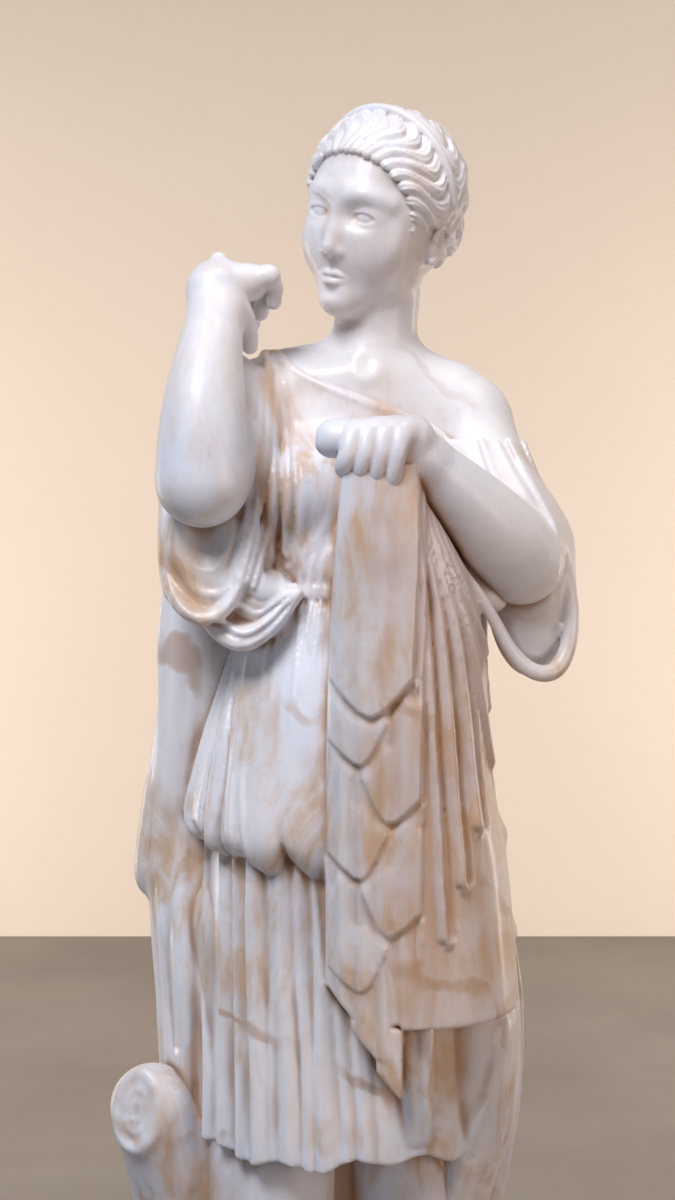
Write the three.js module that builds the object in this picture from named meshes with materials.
// A marble figure of a standing young woman, carved in one block with its tree-stump support and its low
// base. She wears a short girt tunic with wide sleeves and a long mantle. Her head turns to her right, her
// right hand rests on her right shoulder, and her left hand gathers the edge of the mantle at her breast.
//
// Units are millimetres. +Z is up, the figure faces -Y, +X is her left, and the origin is the middle of the
// underside of the base. The form is built as a signed distance field on a lattice: rounded cones, balls
// and draped columns make the masses, and relief drawn from the front, or wound round a column, makes the
// folds. The field is then turned into one closed mesh and thinned to the triangles that its shape needs.

import * as THREE from "three";

// ---------------------------------------------------------------- driving dimensions

const BASE = { halfX: 172, halfY: 128, height: 60, corner: 60, edge: 7 };
const HEIGHT = 1200; // underside of the base to the crown of the head
const CELL = 5.5; // spacing of the lattice
const TRIANGLES = 9700; // triangles left after thinning
const FAR = 1e3; // field value where there is no clay

const SHOULDER = { right: [-56, 6, 986], left: [92, 4, 978] };
const ELBOW = { right: [-90, -86, 940], left: [125, -52, 884] };
const WRIST = { right: [-82, -56, 1050], left: [54, -112, 956] };
const NECK = { low: [22, 10, 1000], high: [30, -2, 1078] };
const HEAD = { centre: [29, -8, 1122], height: 148, turn: 38, nod: 7, tilt: 3 };
const KNEE = { right: [-46, -42, 372], left: [50, -26, 374] };
const ANKLE = { right: [-60, 8, 122], left: [44, 8, 118] };

// ---------------------------------------------------------------- small maths

const mix = (a, b, t) => a + (b - a) * t;
const clamp = (v, low, high) => Math.min(high, Math.max(low, v));
const smooth = (t) => {
  const s = clamp(t, 0, 1);
  return s * s * (3 - 2 * s);
};
const softMin = (a, b, k) => {
  const h = k > 0 ? Math.max(k - Math.abs(a - b), 0) / k : 0;
  return Math.min(a, b) - h * h * k * 0.25;
};
const softMax = (a, b, k) => -softMin(-a, -b, k);

// The value at z of a profile given as [[z, value], ...] with z falling or rising, eased between its stops.
function profile(stops, z) {
  const rising = stops[0][0] < stops[stops.length - 1][0];
  const s = rising ? stops : [...stops].reverse();
  if (z <= s[0][0]) return s[0][1];
  for (let i = 1; i < s.length; i++)
    if (z <= s[i][0]) {
      const before = s[Math.max(i - 2, 0)];
      const after = s[Math.min(i + 1, s.length - 1)];
      return hermite(before, s[i - 1], s[i], after, z);
    }
  return s[s.length - 1][1];
}

function hermite(p0, p1, p2, p3, z) {
  const span = p2[0] - p1[0];
  const t = (z - p1[0]) / span;
  const slope = (a, b) => (b[0] === a[0] ? 0 : (b[1] - a[1]) / (b[0] - a[0]));
  const m1 = p0 === p1 ? slope(p1, p2) : slope(p0, p2);
  const m2 = p3 === p2 ? slope(p1, p2) : slope(p1, p3);
  const t2 = t * t;
  const t3 = t2 * t;
  return (
    (2 * t3 - 3 * t2 + 1) * p1[1] +
    (t3 - 2 * t2 + t) * m1 * span +
    (3 * t2 - 2 * t3) * p2[1] +
    (t3 - t2) * m2 * span
  );
}

// Points along a smooth curve through the given points, each with any number of coordinates.
function curve(points, steps = 4) {
  const out = [points[0]];
  for (let i = 0; i + 1 < points.length; i++) {
    const [p1, p2] = [points[i], points[i + 1]];
    const p0 = points[Math.max(i - 1, 0)];
    const p3 = points[Math.min(i + 2, points.length - 1)];
    for (let n = 1; n <= steps; n++) {
      const t = n / steps;
      out.push(
        p1.map((_, c) => {
          const a = 2 * p1[c];
          const b = (p2[c] - p0[c]) * t;
          const d = (2 * p0[c] - 5 * p1[c] + 4 * p2[c] - p3[c]) * t * t;
          const e = (3 * p1[c] - p0[c] - 3 * p2[c] + p3[c]) * t * t * t;
          return (a + b + d + e) / 2;
        }),
      );
    }
  }
  return out;
}

// ---------------------------------------------------------------- solid shapes: { low, high, at(x, y, z) }

const boxAround = (points, r) => ({
  low: [0, 1, 2].map((c) => Math.min(...points.map((p) => p[c])) - r),
  high: [0, 1, 2].map((c) => Math.max(...points.map((p) => p[c])) + r),
});

// A cone with round ends: radius ra at a, rb at b.
function cone(a, ra, b, rb) {
  const [dx, dy, dz] = [b[0] - a[0], b[1] - a[1], b[2] - a[2]];
  const span = dx * dx + dy * dy + dz * dz || 1;
  const at = (x, y, z) => {
    const [px, py, pz] = [x - a[0], y - a[1], z - a[2]];
    const t = clamp((px * dx + py * dy + pz * dz) / span, 0, 1);
    return Math.hypot(px - t * dx, py - t * dy, pz - t * dz) - mix(ra, rb, t);
  };
  return { ...boxAround([a, b], Math.max(ra, rb)), at };
}

// A round bar of changing radius through points [x, y, z, r].
function bar(points, steps = 4) {
  const line = curve(points, steps);
  const parts = line
    .slice(1)
    .map((p, i) => cone(line[i], line[i][3], p, p[3]));
  const at = (x, y, z) => {
    let d = FAR;
    for (const part of parts) d = Math.min(d, part.at(x, y, z));
    return d;
  };
  return { ...boxAround(line, Math.max(...line.map((p) => p[3]))), at };
}

// Axes turned by yaw (to her right), nod (forwards) and tilt (towards her left), in degrees:
// side is her left, face is forwards and crown is up.
function axes(yaw, nod, tilt) {
  const turned = new THREE.Matrix4().makeRotationFromEuler(
    new THREE.Euler(
      THREE.MathUtils.degToRad(nod),
      THREE.MathUtils.degToRad(tilt),
      THREE.MathUtils.degToRad(-yaw),
      "ZYX",
    ),
  );
  const axis = (x, y, z) =>
    new THREE.Vector3(x, y, z).applyMatrix4(turned).toArray();
  return { side: axis(1, 0, 0), face: axis(0, -1, 0), crown: axis(0, 0, 1) };
}

const UPRIGHT = axes(0, 0, 0);

// An ellipsoid with radii along the side, face and crown axes of a frame.
function ball(c, radii, frame = UPRIGHT) {
  const { side: s, face: f, crown: u } = frame;
  const [ra, rb, rc] = radii;
  const at = (x, y, z) => {
    const [px, py, pz] = [x - c[0], y - c[1], z - c[2]];
    const a = (px * s[0] + py * s[1] + pz * s[2]) / ra;
    const b = (px * f[0] + py * f[1] + pz * f[2]) / rb;
    const g = (px * u[0] + py * u[1] + pz * u[2]) / rc;
    const k0 = Math.hypot(a, b, g);
    const k1 = Math.hypot(a / ra, b / rb, g / rc);
    return k1 > 1e-9 ? (k0 * (k0 - 1)) / k1 : -Math.min(ra, rb, rc);
  };
  return { ...boxAround([c], Math.max(...radii)), at };
}

// A column of oval section. shape holds profiles over z: x and y of its centre, and half widths wide, deep.
// square above 2 makes the oval boxier. foot(angle) is the height of its lower edge.
function column(shape, top, foot, round = 6) {
  const widest = Math.max(...shape.wide.map((s) => s[1]));
  const deepest = Math.max(...shape.deep.map((s) => s[1]));
  const cx = shape.x.map((s) => s[1]);
  const cy = shape.y.map((s) => s[1]);
  const power = shape.square ?? 2;
  let lastZ = NaN;
  let row = null;
  const rowAt = (z) => {
    if (z !== lastZ) {
      lastZ = z;
      row = ["x", "y", "wide", "deep"].map((name) => profile(shape[name], z));
    }
    return row;
  };
  const at = (x, y, z) => {
    const [ox, oy, w, d] = rowAt(z);
    const u = (x - ox) / w;
    const v = (y - oy) / d;
    const rho = (Math.abs(u) ** power + Math.abs(v) ** power) ** (1 / power);
    const slope = Math.hypot(u / w, v / d) / (Math.hypot(u, v) || 1);
    const wall = slope > 1e-9 ? (rho - 1) / slope : -Math.min(w, d);
    const angle = (Math.atan2(u, -v) * 180) / Math.PI;
    const low = typeof foot === "function" ? foot(angle) : foot;
    return softMax(softMax(wall, low - z, round), z - top, round);
  };
  const lowest =
    typeof foot === "function"
      ? Math.min(...Array.from({ length: 72 }, (_, i) => foot(i * 5 - 180)))
      : foot;
  return {
    low: [Math.min(...cx) - widest, Math.min(...cy) - deepest, lowest],
    high: [Math.max(...cx) + widest, Math.max(...cy) + deepest, top],
    at,
    angleAt: (x, y, z) => {
      const [ox, oy, w, d] = rowAt(z);
      return (Math.atan2((x - ox) / w, -(y - oy) / d) * 180) / Math.PI;
    },
  };
}

// ---------------------------------------------------------------- relief drawn in two dimensions

// A sketch is a height over (u, v): panels that lie on the surface, ridges that stand on them and grooves.
class Sketch {
  constructor() {
    this.panels = [];
    this.ridges = [];
    this.grooves = [];
  }

  // A ridge along a curve through points [u, v], with its half width and height at the start and the end.
  // lean from -1 to 1 makes the side on the right of its run steeper, or the left one.
  ridge(points, width, height, lean = 0) {
    this.ridges.push(stroke(points, width, height, lean));
    return this;
  }

  groove(points, width, depth, lean = 0) {
    this.grooves.push(stroke(points, width, depth, lean));
    return this;
  }

  // A layer of cloth with a crisp edge: the outline's points, its thickness and how wide its edge is.
  panel(outline, thickness, edge = 3) {
    const line = curve([...outline, outline[0]], 3);
    this.panels.push({ line, thickness, edge });
    return this;
  }

  at(u, v) {
    let layer = 0;
    for (const p of this.panels) {
      const t = smooth(0.5 - insideDistance(p.line, u, v) / p.edge);
      layer = Math.max(layer, p.thickness * t);
    }
    let raised = 0;
    for (const s of this.ridges) raised = Math.max(raised, strokeAt(s, u, v));
    let sunk = 0;
    for (const s of this.grooves) sunk = Math.max(sunk, strokeAt(s, u, v));
    return layer + raised - sunk;
  }
}

// A sketch's height averaged over four points, so that the lattice doesn't break up its fine edges.
const blurred = (sketch, u, v, reach) =>
  (sketch.at(u - reach, v - reach) +
    sketch.at(u + reach, v - reach) +
    sketch.at(u - reach, v + reach) +
    sketch.at(u + reach, v + reach)) /
  4;

function stroke(points, width, height, lean) {
  const line = curve(points, 4);
  const [w0, w1] = [width].flat().concat(width).flat();
  const [h0, h1] = [height].flat().concat(height).flat();
  const wide = Math.max(w0, w1) * (1 + Math.abs(lean));
  const box = [0, 1].map((c) => [
    Math.min(...line.map((p) => p[c])) - wide,
    Math.max(...line.map((p) => p[c])) + wide,
  ]);
  return { line, w0, w1, h0, h1, lean, box };
}

function strokeAt({ line, w0, w1, h0, h1, lean, box }, u, v) {
  if (u < box[0][0] || u > box[0][1] || v < box[1][0] || v > box[1][1])
    return 0;
  let best = FAR * FAR;
  let along = 0;
  let side = 1;
  const last = line.length - 1;
  for (let i = 0; i < last; i++) {
    const [a, b] = [line[i], line[i + 1]];
    const [dx, dy] = [b[0] - a[0], b[1] - a[1]];
    const [px, py] = [u - a[0], v - a[1]];
    const t = clamp((px * dx + py * dy) / (dx * dx + dy * dy || 1), 0, 1);
    const far = (px - t * dx) ** 2 + (py - t * dy) ** 2;
    if (far < best) {
      best = far;
      along = (i + t) / last;
      side = px * dy - py * dx > 0 ? 1 : -1;
    }
  }
  const reach = mix(w0, w1, along) * (1 - side * lean);
  const q = Math.sqrt(best) / Math.max(reach, 0.5);
  return q < 1 ? mix(h0, h1, along) * (1 - q * q) : 0;
}

// Distance to a closed outline, negative inside.
function insideDistance(line, u, v) {
  let best = FAR * FAR;
  let inside = false;
  for (let i = 0; i + 1 < line.length; i++) {
    const [a, b] = [line[i], line[i + 1]];
    const [dx, dy] = [b[0] - a[0], b[1] - a[1]];
    const [px, py] = [u - a[0], v - a[1]];
    const t = clamp((px * dx + py * dy) / (dx * dx + dy * dy || 1), 0, 1);
    best = Math.min(best, (px - t * dx) ** 2 + (py - t * dy) ** 2);
    const crosses = a[1] > v !== b[1] > v;
    if (crosses && u < a[0] + (dx * (v - a[1])) / dy) inside = !inside;
  }
  return Math.sqrt(best) * (inside ? -1 : 1);
}

// ---------------------------------------------------------------- clay: a distance field on the lattice

const LOW = [-196, -176, -3 * CELL];
const COUNT = [
  Math.ceil(392 / CELL),
  Math.ceil(352 / CELL),
  Math.ceil((HEIGHT + 8 * CELL) / CELL),
];
const place = (axis, index) => LOW[axis] + (index + 0.37) * CELL;
const indexOf = (axis, value) => Math.round((value - LOW[axis]) / CELL - 0.37);

class Clay {
  constructor() {
    this.field = new Float32Array(COUNT[0] * COUNT[1] * COUNT[2]).fill(FAR);
  }

  index(i, j, k) {
    return i + COUNT[0] * (j + COUNT[1] * k);
  }

  // Replaces the field near a shape's box by change(value, shape's distance, x, y, z).
  visit(low, high, margin, change) {
    const first = low.map((v, c) =>
      Math.max(0, Math.floor((v - margin - LOW[c]) / CELL - 0.37)),
    );
    const last = high.map((v, c) =>
      Math.min(COUNT[c] - 1, Math.ceil((v + margin - LOW[c]) / CELL)),
    );
    for (let k = first[2]; k <= last[2]; k++) {
      const z = place(2, k);
      for (let j = first[1]; j <= last[1]; j++) {
        const y = place(1, j);
        let n = this.index(first[0], j, k);
        for (let i = first[0]; i <= last[0]; i++, n++)
          this.field[n] = change(this.field[n], place(0, i), y, z);
      }
    }
    return this;
  }

  add(shape, k = 0) {
    return this.visit(shape.low, shape.high, k + 2 * CELL, (d, x, y, z) =>
      softMin(d, shape.at(x, y, z), k),
    );
  }

  cut(shape, k = 0) {
    return this.visit(shape.low, shape.high, k + 2 * CELL, (d, x, y, z) =>
      softMax(d, -shape.at(x, y, z), k),
    );
  }

  // Joins another piece of clay to this one.
  join(other, k = 0) {
    for (let n = 0; n < this.field.length; n++)
      if (other.field[n] < FAR / 2)
        this.field[n] = softMin(this.field[n], other.field[n], k);
    return this;
  }

  // Keeps only what is on the negative side of a distance function.
  keep(distance, k = 0) {
    return this.visit(LOW, [200, 200, HEIGHT + 60], 0, (d, x, y, z) =>
      d > FAR / 2 ? d : softMax(d, distance(x, y, z), k),
    );
  }

  // Raises relief drawn as seen from the front, on what lies before y = back, fading over fade.
  carveFront(sketch, low, high, back = 0, fade = 20) {
    const heights = new Float32Array(COUNT[0] * COUNT[2]).fill(NaN);
    return this.visit(
      [low[0], LOW[1], low[1]],
      [high[0], back + fade, high[1]],
      0,
      (d, x, y, z) => {
        if (d > 60) return d;
        const n = indexOf(0, x) + COUNT[0] * indexOf(2, z);
        if (Number.isNaN(heights[n])) heights[n] = blurred(sketch, x, z, CELL / 4);
        return d - heights[n] * smooth((back + fade - y) / fade);
      },
    );
  }

  // Raises relief that is drawn over (degrees round a column from the front, z).
  carveRound(sketch, round, low, high) {
    return this.visit(round.low, round.high, 12, (d, x, y, z) =>
      d > 60 || z < low || z > high
        ? d
        : d - sketch.at(round.angleAt(x, y, z), z),
    );
  }
}

// Pleats round a column, over (degrees, z): count ridges between two angles, fanning from top to foot.
function pleats(sketch, from, to, count, top, foot, size) {
  for (let i = 0; i < count; i++) {
    const share = (i + 0.5 + 0.28 * Math.sin(i * 2.4)) / count;
    const swing = 2.5 * Math.sin(i * 1.9);
    const angle = mix(from, to, share);
    const step = Math.abs(to - from) / count;
    const w = step * (0.5 + 0.1 * Math.sin(i * 3.1));
    const h = size * (0.8 + 0.3 * Math.sin(i * 1.3 + 1));
    const points = [
      [angle - swing, top],
      [angle + swing * 0.4, mix(top, foot, 0.5)],
      [angle, foot],
    ];
    sketch.ridge(points, [w * 0.8, w], [h * 0.5, h], 0.25 * Math.sin(i * 2.2));
  }
  return sketch;
}

// ---------------------------------------------------------------- the figure's parts

function carveBody() {
  const clay = new Clay();
  clay.add(ball([10, 6, 925], [72, 54, 96]));
  clay.add(cone(SHOULDER.right, 30, [-20, 12, 992], 34), 20);
  clay.add(cone(SHOULDER.left, 30, [50, 10, 990], 34), 20);
  clay.add(cone(NECK.low, 34, [-34, 14, 1002], 24), 24);
  clay.add(cone(NECK.low, 34, [76, 10, 996], 22), 24);
  clay.add(ball([6, 4, 838], [64, 50, 70]), 25);
  clay.add(ball([2, 4, 700], [90, 68, 110]), 30);
  for (const x of [-22, 44]) clay.add(ball([x, -38, 930], [31, 28, 31]), 18);
  clay.add(cone(NECK.low, 31, NECK.high, 28), 14);
  for (const x of [-8, 44]) clay.add(cone([20, -22, 1014], 5, [x + 14, 4, 1066], 5), 10);
  return clay;
}

// The thin bodice leaves her left shoulder bare.
function carveBodice(body) {
  const s = new Sketch();
  s.panel(
    [
      [-120, 1050],
      [-50, 1034],
      [-20, 1012],
      [22, 994],
      [64, 981],
      [130, 972],
      [130, 830],
      [-120, 830],
    ],
    3,
    3,
  );
  const folds = 4;
  for (let i = 0; i < folds; i++) {
    const t = i / (folds - 1);
    s.ridge(
      [
        [mix(-48, -38, t), 1026],
        [mix(-46, -24, t), 960],
        [mix(-48, -22, t), 905],
        [mix(-40, -8, t), 866],
      ],
      [4, 7],
      [mix(5, 1, t), mix(6, 3, t)],
      0.3,
    );
  }
  s.groove(
    [
      [-40, 1010],
      [-34, 950],
      [-36, 905],
    ],
    [3, 5],
    [2, 3],
  );
  return body.carveFront(s, [-120, 850], [130, 1050], 0, 20);
}

// The overfold puffs out below the girdle and turns back under itself.
function carveOverfold() {
  const shape = column(
    {
      x: [
        [866, 6],
        [805, 3],
        [750, -4],
        [698, -9],
        [672, -6],
      ],
      y: [[860, 0]],
      wide: [
        [866, 68],
        [830, 75],
        [805, 82],
        [780, 88],
        [750, 94],
        [698, 101],
        [672, 94],
      ],
      deep: [
        [866, 60],
        [830, 70],
        [790, 84],
        [740, 98],
        [700, 105],
        [672, 97],
      ],
      square: 2.2,
    },
    868,
    (a) => 672 + 5 * Math.sin((a * Math.PI) / 21 + 1.1) + 2 * Math.sin(a / 6),
    20,
  );
  const clay = new Clay().add(shape);
  clay.carveRound(pleats(new Sketch(), 75, 285, 14, 862, 670, 7), shape, 660, 870);
  const s = new Sketch();
  const run = (x0, x1, x2, x3) => [
    [x0, 850],
    [x1, 780],
    [x2, 715],
    [x3, 672],
  ];
  s.ridge(run(-62, -84, -104, -100), [3, 6], [3, 7], 0.4);
  s.groove(run(-58, -78, -95, -92), [2, 4], [2, 4]);
  s.ridge(run(-52, -68, -78, -66), [4, 10], [3, 7], 0.2);
  s.groove(run(-44, -54, -56, -44), [3, 6], [3, 4]);
  s.ridge(run(-36, -41, -40, -36), [4, 6], [5, 0]);
  s.ridge(run(-24, -28, -28, -26), [3, 6], [4, 0]);
  s.ridge(run(-13, -15, -14, -12), [3, 7], [4, 1]);
  s.groove(
    [
      [-42, 656],
      [-45, 688],
      [-52, 715],
    ],
    [8, 3],
    [10, 0],
  );
  s.groove(
    [
      [-86, 660],
      [-86, 690],
      [-90, 715],
    ],
    [6, 3],
    [7, 0],
  );
  clay.carveFront(s, [-112, 655], [20, 866], -20, 30);
  clay.add(
    bar([
      [-72, -20, 866, 5],
      [-50, -54, 862, 6],
      [-12, -68, 862, 6],
      [40, -66, 862, 6],
    ]),
    3,
  );
  return clay;
}

function carveSkirt() {
  const shape = column(
    {
      x: [
        [700, 2],
        [480, 4],
      ],
      y: [[700, -6]],
      wide: [
        [700, 92],
        [600, 98],
        [480, 102],
      ],
      deep: [
        [700, 82],
        [600, 88],
        [480, 94],
      ],
      square: 2.3,
    },
    720,
    (a) => 478 + 5 * Math.sin((a * Math.PI) / 14),
    5,
  );
  const clay = new Clay().add(shape);
  clay.carveRound(pleats(new Sketch(), 70, 300, 18, 720, 455, 8), shape, 440, 730);
  const s = new Sketch();
  const count = 10;
  for (let i = 0; i < count; i++) {
    const t = i / (count - 1);
    const top = mix(-90, 2, t) + 2 * Math.sin(i * 2.3);
    const foot = mix(-93, 16, t) + 2.5 * Math.sin(i * 1.7);
    const wide = 5 + 1.2 * Math.sin(i * 2.9);
    s.ridge(
      [
        [top, 700],
        [mix(top, foot, 0.5) + 2 * Math.sin(i * 4.1), 590],
        [foot, 455],
      ],
      [wide * 0.8, wide],
      [6, 8 + Math.sin(i)],
      0.3 * Math.sin(i * 2.2),
    );
  }
  clay.carveFront(s, [-104, 440], [30, 720], -10, 40);
  const hollow = column(
    {
      x: [[500, 3]],
      y: [[500, -6]],
      wide: [[500, 88]],
      deep: [[500, 78]],
    },
    512,
    430,
    12,
  );
  return clay.cut(hollow, 6);
}

function carveLegs() {
  const clay = new Clay();
  for (const side of ["right", "left"]) {
    const sign = side === "right" ? -1 : 1;
    const knee = KNEE[side];
    const ankle = ANKLE[side];
    clay.add(cone([48 * sign, -2, 620], 60, knee, 41), 12);
    const calf = [knee[0] - 2 * sign, knee[1] + 28, knee[2] - 85];
    clay.add(bar([[...knee, 37], [...calf, 37], [...ankle, 22]]), 16);
    const toe = [ankle[0] + 10 * sign, ankle[1] - 78, BASE.height + 10];
    const heel = [ankle[0], ankle[1] + 14, BASE.height + 18];
    clay.add(cone(heel, 22, toe, 13), 14);
    clay.add(cone([toe[0] - 14 * sign, toe[1] - 4, toe[2]], 11, heel, 18), 8);
  }
  return clay;
}

function carveArms() {
  const clay = new Clay();
  clay.add(cone(SHOULDER.right, 31, ELBOW.right, 30));
  const bulge = [-89, -84, 990];
  clay.add(
    bar([[...ELBOW.right, 31], [...bulge, 27], [...WRIST.right, 18]]),
    8,
  );
  clay.add(cone(SHOULDER.left, 31, ELBOW.left, 29), 10);
  const swell = [98, -80, 914];
  clay.add(bar([[...ELBOW.left, 30], [...swell, 28], [...WRIST.left, 16]]), 8);
  return clay;
}

function carveHands() {
  const clay = new Clay();
  // the right hand is bent at the wrist, its fingers down on the shoulder
  for (let i = 0; i < 4; i++) {
    const t = i / 3;
    const knuckle = [mix(-50, -62, t), mix(-44, -4, t), mix(1084, 1087, t)];
    const bend = [mix(-44, -52, t), mix(-38, 4, t), mix(1066, 1068, t)];
    const tip = [mix(-52, -56, t), mix(-26, 10, t), mix(1042, 1040, t)];
    clay.add(cone([-82, -48, 1068], 16, knuckle, 9), 8);
    clay.add(cone(knuckle, 8.5, bend, 7.5), 3);
    clay.add(cone(bend, 7.5, tip, 6.5), 2);
  }
  clay.add(cone(WRIST.right, 18, [-82, -46, 1074], 16), 10);
  clay.add(bar([[-76, -58, 1064, 9], [-62, -58, 1052, 8], [-54, -44, 1036, 7]]), 6);
  // the left hand is a fist round the gathered mantle
  clay.add(cone(WRIST.left, 16, [32, -118, 960], 17), 10);
  for (let i = 0; i < 4; i++) {
    const x = 42 - 11 * i;
    const drop = 1.5 * Math.abs(i - 1.3);
    clay.add(
      bar([
        [x + 1, -118, 977 - drop, 7],
        [x, -135, 969 - drop, 6.6],
        [x - 2, -137, 951 - drop, 6.4],
        [x - 1, -126, 941 - drop, 6],
      ]),
      1.5,
    );
  }
  clay.add(bar([[26, -124, 966, 13], [2, -125, 968, 12], [-9, -123, 968, 10]]), 2);
  return clay;
}

function carveRightSleeve() {
  const clay = new Clay();
  clay.add(ball([-90, -50, 893], [33, 38, 53]));
  clay.add(ball([-72, -26, 950], [34, 34, 76]), 14);
  clay.cut(ball([-91, -98, 915], [25, 30, 34]), 6);
  const loops = [
    { left: -119, low: 847, right: -56, front: -84, r: 6 },
    { left: -108, low: 862, right: -64, front: -86, r: 4 },
  ];
  for (const { left, low, right, front, r } of loops) {
    const middle = (left + right) / 2;
    clay.add(
      bar([
        [left, -50, low + 90, r],
        [left + 1, front + 24, low + 36, r],
        [middle - 14, front + 2, low + 3, r],
        [middle + 5, front - 2, low + 1, r],
        [right - 8, front - 2, low + 30, r],
        [right + 3, front + 12, low + 90, r],
        [right + 8, -34, 1022, 4],
      ]),
      4,
    );
  }
  // the bodice pouches over the girdle beside it
  const swags = 4;
  for (let i = 0; i < swags; i++) {
    const t = i / (swags - 1);
    clay.add(
      bar([
        [mix(-56, -44, t), -60, 940, 4],
        [mix(-84, -56, t), -64, mix(852, 880, t), 8],
        [mix(-67, -46, t), mix(-76, -68, t), mix(836, 866, t), 9],
        [mix(-46, -34, t), mix(-74, -66, t), mix(844, 870, t), 7],
        [-26, -60, 866, 5],
      ]),
      3,
    );
  }
  return clay;
}

function carveLeftSleeve() {
  const clay = new Clay();
  // cloth over the upper arm, ending in a turned corner on the shoulder
  clay.add(bar([[106, 2, 948, 17], [126, -4, 926, 19], [142, -10, 894, 20]]));
  clay.add(cone([92, -16, 960], 10, [120, 4, 957], 9), 8);
  // the deep loop round the elbow
  clay.add(ball([136, -16, 866], [31, 32, 66]), 12);
  clay.cut(ball([131, -62, 870], [25, 38, 52]), 5);
  clay.add(
    bar([
      [66, -86, 908, 4],
      [84, -84, 884, 5],
      [101, -74, 856, 6],
      [112, -64, 832, 6],
      [126, -54, 813, 7],
      [142, -48, 810, 8],
      [155, -42, 828, 8],
      [158, -36, 866, 7],
      [152, -30, 900, 7],
      [134, -34, 920, 5],
    ]),
    5,
  );
  return clay;
}

function carveMantleBack() {
  const shape = column(
    {
      x: [
        [1000, 12],
        [900, -6],
        [800, -12],
        [640, -6],
        [560, 2],
        [400, 2],
      ],
      y: [
        [1000, 22],
        [900, 22],
        [400, 14],
      ],
      wide: [
        [1020, 60],
        [960, 92],
        [860, 112],
        [760, 115],
        [660, 122],
        [560, 126],
        [480, 122],
        [380, 104],
      ],
      deep: [
        [1020, 40],
        [960, 58],
        [860, 72],
        [700, 84],
        [463, 80],
        [380, 72],
      ],
      square: 2.5,
    },
    1020,
    (a) => (a < -20 ? mix(440, 400, smooth((-a - 120) / 40)) : 372) + 6 * Math.sin(a / 5),
    8,
  );
  const clay = new Clay().add(shape);
  const s = pleats(new Sketch(), 30, 330, 22, 1010, 380, 8);
  clay.carveRound({ at: (a, z) => s.at(a < 0 ? a + 360 : a, z) }, shape, 330, 1015);
  clay.keep((x, y, z) => mix(-6, -44, smooth((700 - z) / 140)) - y, 14);
  // an outer fold hangs from the left, ending in a rounded corner
  clay.add(
    bar([
      [-108, 24, 880, 12],
      [-112, 22, 790, 13],
      [-124, 18, 716, 15],
      [-130, 14, 664, 16],
      [-130, 14, 652, 15],
    ]),
    6,
  );
  return clay;
}

function carveMantleFront() {
  const shape = column(
    {
      x: [
        [945, 22],
        [900, 30],
        [860, 36],
        [800, 40],
        [583, 46],
      ],
      y: [
        [945, -116],
        [900, -94],
        [860, -68],
        [800, -44],
        [700, -30],
        [583, -26],
      ],
      wide: [
        [945, 24],
        [900, 45],
        [860, 58],
        [800, 62],
        [740, 64],
        [680, 74],
        [583, 81],
      ],
      deep: [
        [945, 14],
        [900, 38],
        [860, 62],
        [800, 84],
        [700, 96],
        [583, 100],
      ],
      square: 2.3,
    },
    946,
    583,
    3,
  );
  const clay = new Clay().add(shape);
  const edge = [
    [945, 2],
    [870, -5],
    [790, -9],
    [600, -9],
  ];
  clay.keep((x, y, z) => profile(edge, z) - x, 3);
  const s = new Sketch();
  // the broad front panel, its hem cut slantwise
  s.panel(
    [
      [2, 950],
      [-6, 870],
      [-10, 790],
      [0, 778],
      [26, 789],
      [52, 808],
      [48, 855],
      [40, 905],
      [34, 950],
    ],
    9,
  );
  // the zigzags that hang under it
  s.panel(
    [
      [-10, 800],
      [6, 776],
      [17, 745],
      [26, 705],
      [25, 665],
      [14, 632],
      [0, 604],
      [-9, 590],
      [-10, 690],
    ],
    6,
  );
  s.panel(
    [
      [33, 810],
      [60, 812],
      [67, 760],
      [69, 708],
      [60, 672],
      [44, 640],
      [36, 606],
      [31, 640],
      [30, 720],
    ],
    6,
  );
  s.panel(
    [
      [58, 690],
      [70, 650],
      [74, 606],
      [54, 594],
      [42, 582],
      [34, 590],
      [40, 640],
    ],
    3,
  );
  s.ridge(
    [
      [4, 945],
      [-4, 860],
      [-6, 790],
      [-6, 700],
      [-6, 590],
    ],
    4,
    3,
  );
  s.groove(
    [
      [13, 930],
      [4, 860],
      [3, 790],
    ],
    2.5,
    3,
  );
  s.groove(
    [
      [36, 785],
      [50, 752],
      [68, 728],
    ],
    [4, 3],
    [5, 3],
  );
  s.groove(
    [
      [29, 788],
      [28, 700],
      [27, 600],
    ],
    3.5,
    5,
  );
  // long folds that spread to her left
  s.groove(
    [
      [47, 930],
      [58, 850],
      [69, 790],
      [76, 700],
      [79, 580],
    ],
    [4, 9],
    [7, 14],
  );
  s.ridge(
    [
      [56, 925],
      [74, 850],
      [86, 780],
      [92, 700],
      [92, 580],
    ],
    [4, 9],
    [5, 7],
    0.3,
  );
  s.groove(
    [
      [64, 905],
      [82, 850],
      [96, 790],
      [103, 700],
      [104, 580],
    ],
    [3, 5],
    [5, 6],
  );
  s.ridge(
    [
      [72, 890],
      [92, 840],
      [102, 780],
      [112, 690],
      [116, 580],
    ],
    [4, 7],
    [4, 6],
  );
  clay.carveFront(s, [-14, 560], [130, 950], 10, 60);
  // small turned-out folds down her left side
  for (const [z, x, r] of [
    [832, 94, 9],
    [796, 93, 8],
    [758, 97, 9],
    [688, 108, 11],
    [626, 116, 10],
  ])
    clay.add(cone([x - 8, -40, z + 22], r * 0.7, [x, -26, z], r), 4);
  return clay;
}

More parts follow.
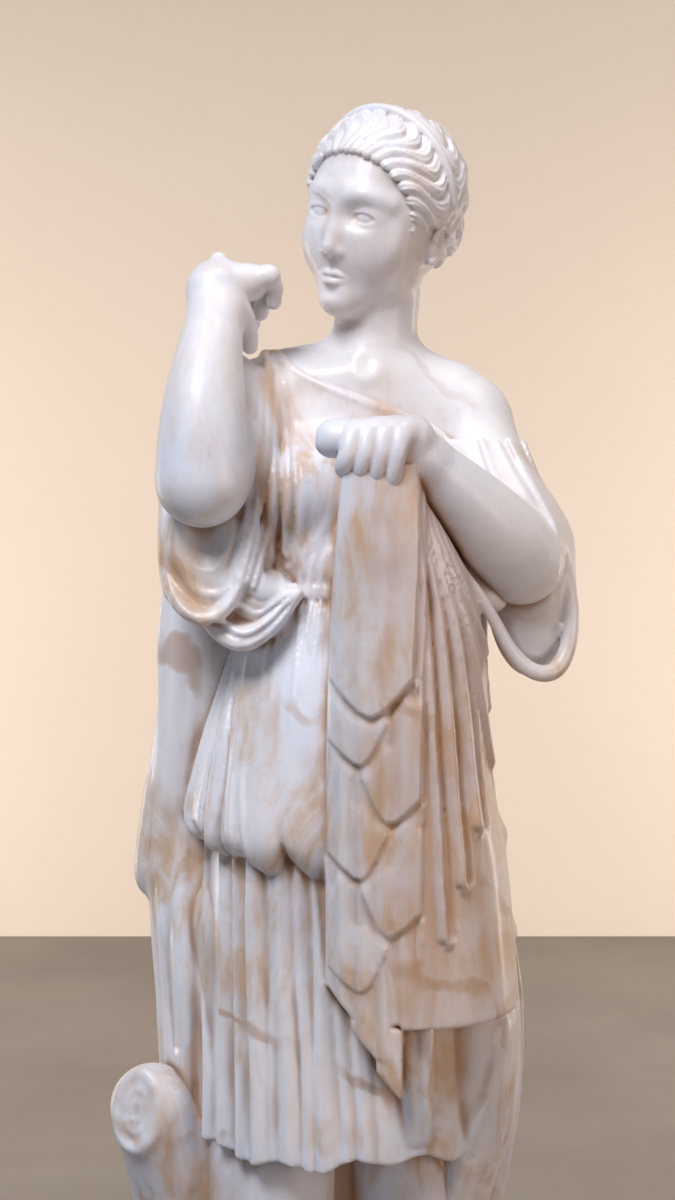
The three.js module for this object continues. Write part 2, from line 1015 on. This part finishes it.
// What hangs below the mantle's hem: the tail of the gathered edge, and its broad lining.
function carveMantleFoot() {
  const clay = new Clay();
  const tail = new Sketch();
  tail.panel(
    [
      [-9, 610],
      [-6, 575],
      [0, 535],
      [12, 515],
      [42, 512],
      [44, 530],
      [38, 600],
    ],
    10,
  );
  tail.panel(
    [
      [-9, 605],
      [-4, 572],
      [12, 557],
      [15, 547],
      [22, 570],
      [24, 610],
    ],
    5,
  );
  tail.groove(
    [
      [14, 560],
      [16, 545],
      [6, 520],
    ],
    3,
    5,
  );
  tail.groove(
    [
      [28, 600],
      [26, 550],
      [30, 515],
    ],
    3,
    4,
  );
  const hanging = column(
    {
      x: [
        [600, 17],
        [508, 20],
      ],
      y: [[600, -84]],
      wide: [
        [600, 27],
        [508, 24],
      ],
      deep: [
        [600, 22],
        [508, 22],
      ],
      square: 3,
    },
    640,
    (a) => 498 + 0.1 * a,
    4,
  );
  clay.add(hanging);
  clay.carveFront(tail, [-12, 490], [60, 612], -60, 30);
  clay.add(
    bar([
      [46, -100, 590, 10],
      [52, -96, 540, 9],
      [52, -92, 490, 8],
    ]),
    4,
  );
  const lining = column(
    {
      x: [
        [600, 88],
        [520, 90],
        [448, 84],
        [372, 74],
      ],
      y: [
        [600, -10],
        [372, 6],
      ],
      wide: [
        [600, 34],
        [545, 40],
        [480, 40],
        [448, 33],
        [372, 24],
      ],
      deep: [
        [600, 62],
        [520, 66],
        [372, 48],
      ],
    },
    620,
    374,
    10,
  );
  clay.add(lining, 6);
  const soft = new Sketch();
  soft.ridge(
    [
      [118, 560],
      [108, 520],
      [90, 490],
      [72, 400],
    ],
    9,
    3,
  );
  soft.ridge(
    [
      [60, 570],
      [64, 500],
      [74, 400],
    ],
    7,
    4,
  );
  soft.groove(
    [
      [100, 515],
      [88, 494],
      [92, 470],
    ],
    5,
    2,
  );
  clay.carveFront(soft, [55, 370], [134, 590], 10, 40);
  return clay;
}

function carveStump() {
  const clay = new Clay();
  clay.add(
    bar([
      [-98, 44, 50, 60],
      [-100, 40, 160, 46],
      [-102, 34, 320, 44],
      [-104, 20, 430, 40],
    ]),
  );
  clay.add(cone([-104, 10, 415], 40, [-131, -24, 499], 29), 20);
  // the sawn branch, its face a shallow oval inside a ring of bark
  const { side, face, crown } = axes(28, -12, 0);
  const middle = [-140, -42, 500];
  const onFace = (s, f, u) => middle.map((v, c) => v + s * side[c] + f * face[c] + u * crown[c]);
  clay.cut(ball(onFace(0, 300, 0), [300, 300, 300]), 4);
  const ring = Array.from({ length: 13 }, (_, i) => {
    const a = (i * Math.PI) / 6;
    return [...onFace(17 * Math.cos(a), -3, 26 * Math.sin(a)), 4.5];
  });
  clay.add(bar(ring, 2), 3);
  return clay;
}

function carveBase() {
  const { halfX, halfY, height, corner, edge } = BASE;
  const at = (x, y, z) => {
    const dx = Math.max(Math.abs(x) - halfX + corner, 0);
    const dy = Math.max(Math.abs(y) - halfY + corner, 0);
    const wall = Math.hypot(dx, dy) - corner;
    return Math.max(softMax(wall, z - height, edge), -z);
  };
  return new Clay().add({
    low: [-halfX, -halfY, 0],
    high: [halfX, halfY, height],
    at,
  });
}

function carveHead() {
  const frame = axes(HEAD.turn, HEAD.nod, HEAD.tilt);
  const { side, face, crown } = frame;
  const unit = HEAD.height / 143;
  // a point by its distance to her left, forwards and up from the middle of the head
  const on = (s, f, u) =>
    HEAD.centre.map((v, c) => v + unit * (s * side[c] + f * face[c] + u * crown[c]));
  const clay = new Clay();
  clay.add(ball(on(0, -8, 12), [48, 56, 55], frame));
  clay.add(ball(on(0, 12, -14), [39, 41, 56], frame), 14);
  for (const s of [-1, 1])
    clay.add(cone(on(26 * s, 2, -34), 15, on(0, 35, -59), 12), 14);
  clay.add(cone(on(0, 45, 16), 5, on(0, 60, -25), 6.5), 7);
  for (const s of [-1, 1]) {
    const brow = [[5, 50, 9], [18, 48, 13], [32, 36, 9]];
    clay.add(bar(brow.map(([a, f, u]) => [...on(a * s, f, u), 3.5])), 7);
    clay.cut(ball(on(17 * s, 55, 0), [12, 8, 8], frame), 6);
    clay.add(ball(on(17 * s, 37, -1), [11, 11, 10], frame), 2);
    clay.add(ball(on(24 * s, 27, -22), [14, 15, 17], frame), 12);
    clay.add(ball(on(48 * s, -8, -14), [5, 10, 17], frame), 4);
    clay.add(ball(on(7 * s, 54, -28), [4, 5, 4], frame), 3);
  }
  const lip = (u, f, r, half) => [
    [...on(-half, f - 6, u), r * 0.6],
    [...on(0, f, u), r],
    [...on(half, f - 6, u), r * 0.6],
  ];
  clay.add(bar(lip(-42, 50, 4, 13)), 3);
  clay.add(bar(lip(-49, 49, 4.5, 11)), 3);
  clay.add(ball(on(0, 40, -61), [12, 11, 10], frame), 8);
  return clay.join(carveHair(on, frame), 2);
}

// The hair is drawn back from the face under a narrow band, and gathered behind it.
function carveHair(on, frame) {
  const hair = new Clay();
  hair.add(ball(on(0, -5, 17), [54.5, 59, 58], frame));
  hair.add(ball(on(0, -44, -6), [38, 26, 32], frame), 10);
  hair.cut(ball(on(0, 58, -12), [52, 52, 50], frame), 5);
  const band = Array.from({ length: 13 }, (_, i) => {
    const a = ((i - 6) / 6) * 1.95;
    return [...on(56 * Math.sin(a), -10 + 19 * Math.cos(a), 17 + 54 * Math.cos(a)), 4];
  });
  hair.add(bar(band, 2), 2);
  return hair;
}

// ---------------------------------------------------------------- from field to mesh

const CORNERS = [0, 1, 2, 3, 4, 5, 6, 7].map((c) => [c & 1, (c >> 1) & 1, c >> 2]);
const TETRAHEDRA = [
  [0, 1, 3, 7],
  [0, 3, 2, 7],
  [0, 2, 6, 7],
  [0, 6, 4, 7],
  [0, 4, 5, 7],
  [0, 5, 1, 7],
];

function isEven(order) {
  let swaps = 0;
  for (let i = 0; i < order.length; i++)
    for (let j = i + 1; j < order.length; j++) if (order[i] > order[j]) swaps++;
  return swaps % 2 === 0;
}

// For each of the 16 ways four corners can lie inside, the edges the surface crosses, in outward order.
const CROSSINGS = Array.from({ length: 16 }, (_, mask) => {
  const ins = [0, 1, 2, 3].filter((c) => mask & (1 << c));
  const outs = [0, 1, 2, 3].filter((c) => !(mask & (1 << c)));
  if (!ins.length || !outs.length) return [];
  const loops = {
    1: () => outs.map((o) => [ins[0], o]),
    2: () => [
      [ins[0], outs[0]],
      [ins[0], outs[1]],
      [ins[1], outs[1]],
      [ins[1], outs[0]],
    ],
    3: () => ins.map((i) => [i, outs[0]]),
  };
  const loop = loops[ins.length]();
  return isEven([...ins, ...outs]) ? loop : loop.reverse();
});

// Marching tetrahedra: every lattice cube is six tetrahedra, so the surface is always closed.
function polygonise(clay) {
  const { field } = clay;
  const points = [];
  const triangles = [];
  const known = new Map();
  const stride = [1, COUNT[0], COUNT[0] * COUNT[1]];
  const offset = CORNERS.map((c) => c[0] * stride[0] + c[1] * stride[1] + c[2] * stride[2]);
  const where = (n) => [
    place(0, n % COUNT[0]),
    place(1, Math.floor(n / COUNT[0]) % COUNT[1]),
    place(2, Math.floor(n / stride[2])),
  ];
  const crossing = (a, b) => {
    const key = Math.min(a, b) * field.length + Math.max(a, b);
    let found = known.get(key);
    if (found === undefined) {
      const t = clamp(field[a] / (field[a] - field[b]), 0.02, 0.98);
      const [pa, pb] = [where(a), where(b)];
      found = points.length / 3;
      for (let c = 0; c < 3; c++) points.push(mix(pa[c], pb[c], t));
      known.set(key, found);
    }
    return found;
  };
  for (let k = 0; k + 1 < COUNT[2]; k++)
    for (let j = 0; j + 1 < COUNT[1]; j++)
      for (let i = 0; i + 1 < COUNT[0]; i++) {
        const n = clay.index(i, j, k);
        let inside = 0;
        for (let c = 0; c < 8; c++) if (field[n + offset[c]] < 0) inside++;
        if (inside === 0 || inside === 8) continue;
        for (const tet of TETRAHEDRA) {
          let mask = 0;
          for (let c = 0; c < 4; c++) if (field[n + offset[tet[c]]] < 0) mask |= 1 << c;
          const edges = CROSSINGS[mask];
          if (!edges.length) continue;
          const at = edges.map(([p, q]) => crossing(n + offset[tet[p]], n + offset[tet[q]]));
          triangles.push(at[0], at[1], at[2]);
          if (at.length === 4) triangles.push(at[0], at[2], at[3]);
        }
      }
  return { points: Float64Array.from(points), triangles: Int32Array.from(triangles) };
}

// ---------------------------------------------------------------- thinning by quadric error

// A mesh whose edges can be collapsed, the one that changes the shape least first.
class Thinner {
  constructor({ points, triangles }) {
    this.p = points;
    this.f = triangles;
    this.left = triangles.length / 3;
    const count = points.length / 3;
    this.around = Array.from({ length: count }, () => []);
    this.q = new Float64Array(count * 10);
    this.version = new Int32Array(count);
    this.heap = new Heap();
    this.at = [0, 0, 0];
    for (let n = 0; n < this.left; n++) this.enter(n);
  }

  // Files a face with its corners and adds its plane to their error sums.
  enter(n) {
    const { p, f, q } = this;
    const [a, b, c] = [f[3 * n], f[3 * n + 1], f[3 * n + 2]];
    const normal = crossOf(p, a, p, b, p, c);
    const size = Math.hypot(...normal) || 1e-12;
    const [x, y, z] = normal.map((v) => v / size);
    const w = -(x * p[3 * a] + y * p[3 * a + 1] + z * p[3 * a + 2]);
    const sums = [x * x, x * y, x * z, x * w, y * y, y * z, y * w, z * z, z * w, w * w];
    for (const v of [a, b, c]) {
      this.around[v].push(n);
      for (let i = 0; i < 10; i++) q[10 * v + i] += (sums[i] * size) / 2;
    }
  }

  corners(n) {
    return [this.f[3 * n], this.f[3 * n + 1], this.f[3 * n + 2]];
  }

  neighbours(v) {
    const out = [];
    for (const n of this.around[v])
      for (const w of this.corners(n)) if (w !== v && !out.includes(w)) out.push(w);
    return out;
  }

  // The cheapest place to merge two corners, left in this.at; returns its cost.
  plan(a, b) {
    const { p, q, at } = this;
    const s = new Float64Array(10);
    for (let i = 0; i < 10; i++) s[i] = q[10 * a + i] + q[10 * b + i];
    const cost = (x, y, z) =>
      x * (s[0] * x + 2 * (s[1] * y + s[2] * z + s[3])) +
      y * (s[4] * y + 2 * (s[5] * z + s[6])) +
      z * (s[7] * z + 2 * s[8]) +
      s[9];
    let best = Infinity;
    const offer = (x, y, z) => {
      const c = cost(x, y, z);
      if (c < best) {
        best = c;
        at[0] = x;
        at[1] = y;
        at[2] = z;
      }
    };
    const [i, j] = [3 * a, 3 * b];
    const span = Math.hypot(p[i] - p[j], p[i + 1] - p[j + 1], p[i + 2] - p[j + 2]);
    for (const t of [0, 0.5, 1])
      offer(mix(p[i], p[j], t), mix(p[i + 1], p[j + 1], t), mix(p[i + 2], p[j + 2], t));
    const c00 = s[4] * s[7] - s[5] * s[5];
    const c01 = s[2] * s[5] - s[1] * s[7];
    const c02 = s[1] * s[5] - s[2] * s[4];
    const det = s[0] * c00 + s[1] * c01 + s[2] * c02;
    const trace = s[0] + s[4] + s[7];
    if (Math.abs(det) > 1e-5 * trace ** 3) {
      const c11 = s[0] * s[7] - s[2] * s[2];
      const c12 = s[1] * s[2] - s[0] * s[5];
      const c22 = s[0] * s[4] - s[1] * s[1];
      const x = -(c00 * s[3] + c01 * s[6] + c02 * s[8]) / det;
      const y = -(c01 * s[3] + c11 * s[6] + c12 * s[8]) / det;
      const z = -(c02 * s[3] + c12 * s[6] + c22 * s[8]) / det;
      const off = [(p[i] + p[j]) / 2 - x, (p[i + 1] + p[j + 1]) / 2 - y, (p[i + 2] + p[j + 2]) / 2 - z];
      if (Math.hypot(...off) < 1.2 * span) offer(x, y, z);
    }
    return best + 2e-3 * span;
  }

  offer(a, b) {
    const cost = this.plan(a, b);
    this.heap.push({ a, b, cost, va: this.version[a], vb: this.version[b] });
  }

  // Whether moving a or b to this.at would fold face n over or make it a sliver.
  spoils(n, a, b) {
    const { p, f, at } = this;
    const before = crossOf(p, f[3 * n], p, f[3 * n + 1], p, f[3 * n + 2]);
    const moved = this.corners(n).map((v) => (v === a || v === b ? [at, 0] : [p, v])).flat();
    const after = crossOf(...moved);
    const [m, l] = [Math.hypot(...before), Math.hypot(...after)];
    const dot = before[0] * after[0] + before[1] * after[1] + before[2] * after[2];
    return l < 0.05 || dot < 0.25 * m * l;
  }

  collapse({ a, b, va, vb }) {
    const { p, f, q, around, version, at } = this;
    if (version[a] !== va || version[b] !== vb) return;
    const shared = around[a].filter((n) => around[b].includes(n));
    const [na, nb] = [this.neighbours(a), this.neighbours(b)];
    if (shared.length !== 2 || na.filter((v) => nb.includes(v)).length !== 2) return;
    this.plan(a, b);
    const kept = [...around[a], ...around[b]].filter((n) => !shared.includes(n));
    if (kept.some((n) => this.spoils(n, a, b))) return;
    for (let c = 0; c < 3; c++) p[3 * a + c] = at[c];
    for (let i = 0; i < 10; i++) q[10 * a + i] += q[10 * b + i];
    for (const n of shared) {
      for (const v of this.corners(n)) around[v] = around[v].filter((m) => m !== n);
      f[3 * n] = -1;
    }
    for (const n of around[b])
      for (let c = 0; c < 3; c++) if (f[3 * n + c] === b) f[3 * n + c] = a;
    around[a] = kept;
    around[b] = [];
    version[a]++;
    version[b]++;
    this.left -= 2;
    for (const v of this.neighbours(a)) this.offer(a, v);
  }

  run(target) {
    for (let n = 0; n < this.f.length / 3; n++) {
      const [a, b, c] = this.corners(n);
      if (a < b) this.offer(a, b);
      if (b < c) this.offer(b, c);
      if (c < a) this.offer(c, a);
    }
    while (this.left > target && this.heap.size) this.collapse(this.heap.pop());
    return { points: this.p, triangles: this.f.filter((v, i) => this.f[i - (i % 3)] >= 0) };
  }
}

function crossOf(pa, a, pb, b, pc, c) {
  const [x, y, z] = [pa[3 * a], pa[3 * a + 1], pa[3 * a + 2]];
  const [ux, uy, uz] = [pb[3 * b] - x, pb[3 * b + 1] - y, pb[3 * b + 2] - z];
  const [vx, vy, vz] = [pc[3 * c] - x, pc[3 * c + 1] - y, pc[3 * c + 2] - z];
  return [uy * vz - uz * vy, uz * vx - ux * vz, ux * vy - uy * vx];
}

// A binary heap ordered by cost.
class Heap {
  constructor() {
    this.items = [];
  }

  get size() {
    return this.items.length;
  }

  push(item) {
    const h = this.items;
    let n = h.push(item) - 1;
    while (n > 0) {
      const up = (n - 1) >> 1;
      if (h[up].cost <= item.cost) break;
      h[n] = h[up];
      n = up;
    }
    h[n] = item;
  }

  pop() {
    const h = this.items;
    const top = h[0];
    const end = h.pop();
    if (h.length) {
      let n = 0;
      for (;;) {
        let child = 2 * n + 1;
        if (child >= h.length) break;
        if (child + 1 < h.length && h[child + 1].cost < h[child].cost) child++;
        if (h[child].cost >= end.cost) break;
        h[n] = h[child];
        n = child;
      }
      h[n] = end;
    }
    return top;
  }
}

// ---------------------------------------------------------------- the statue

function carveStatue() {
  const statue = carveBodice(carveBody());
  statue.join(carveLegs(), 6);
  statue.join(carveSkirt(), 3);
  statue.join(carveOverfold(), 3);
  statue.join(carveMantleBack(), 3);
  statue.join(carveMantleFront(), 3);
  statue.join(carveMantleFoot(), 3);
  statue.join(carveRightSleeve(), 4);
  statue.join(carveLeftSleeve(), 4);
  statue.join(carveArms(), 2);
  statue.join(carveHands(), 3);
  statue.join(carveHead(), 8);
  statue.join(carveStump(), 6);
  statue.join(carveBase(), 6);
  return statue.keep((x, y, z) => -z);
}

function geometryOf({ points, triangles }) {
  const used = new Map();
  const flat = [];
  const index = Array.from(triangles, (v) => {
    if (!used.has(v)) {
      used.set(v, used.size);
      flat.push(points[3 * v], points[3 * v + 1], points[3 * v + 2]);
    }
    return used.get(v);
  });
  const geometry = new THREE.BufferGeometry();
  geometry.setAttribute("position", new THREE.Float32BufferAttribute(flat, 3));
  geometry.setIndex(index);
  geometry.computeVertexNormals();
  return geometry;
}

const marble = new THREE.MeshStandardMaterial({
  color: 0xe9e2da,
  roughness: 0.35,
  metalness: 0,
});

const surface = new Thinner(polygonise(carveStatue())).run(TRIANGLES);
const figure = new THREE.Mesh(geometryOf(surface), marble);
figure.name = "draped_figure_with_base";

const statue = new THREE.Group();
statue.add(figure);

export default statue;
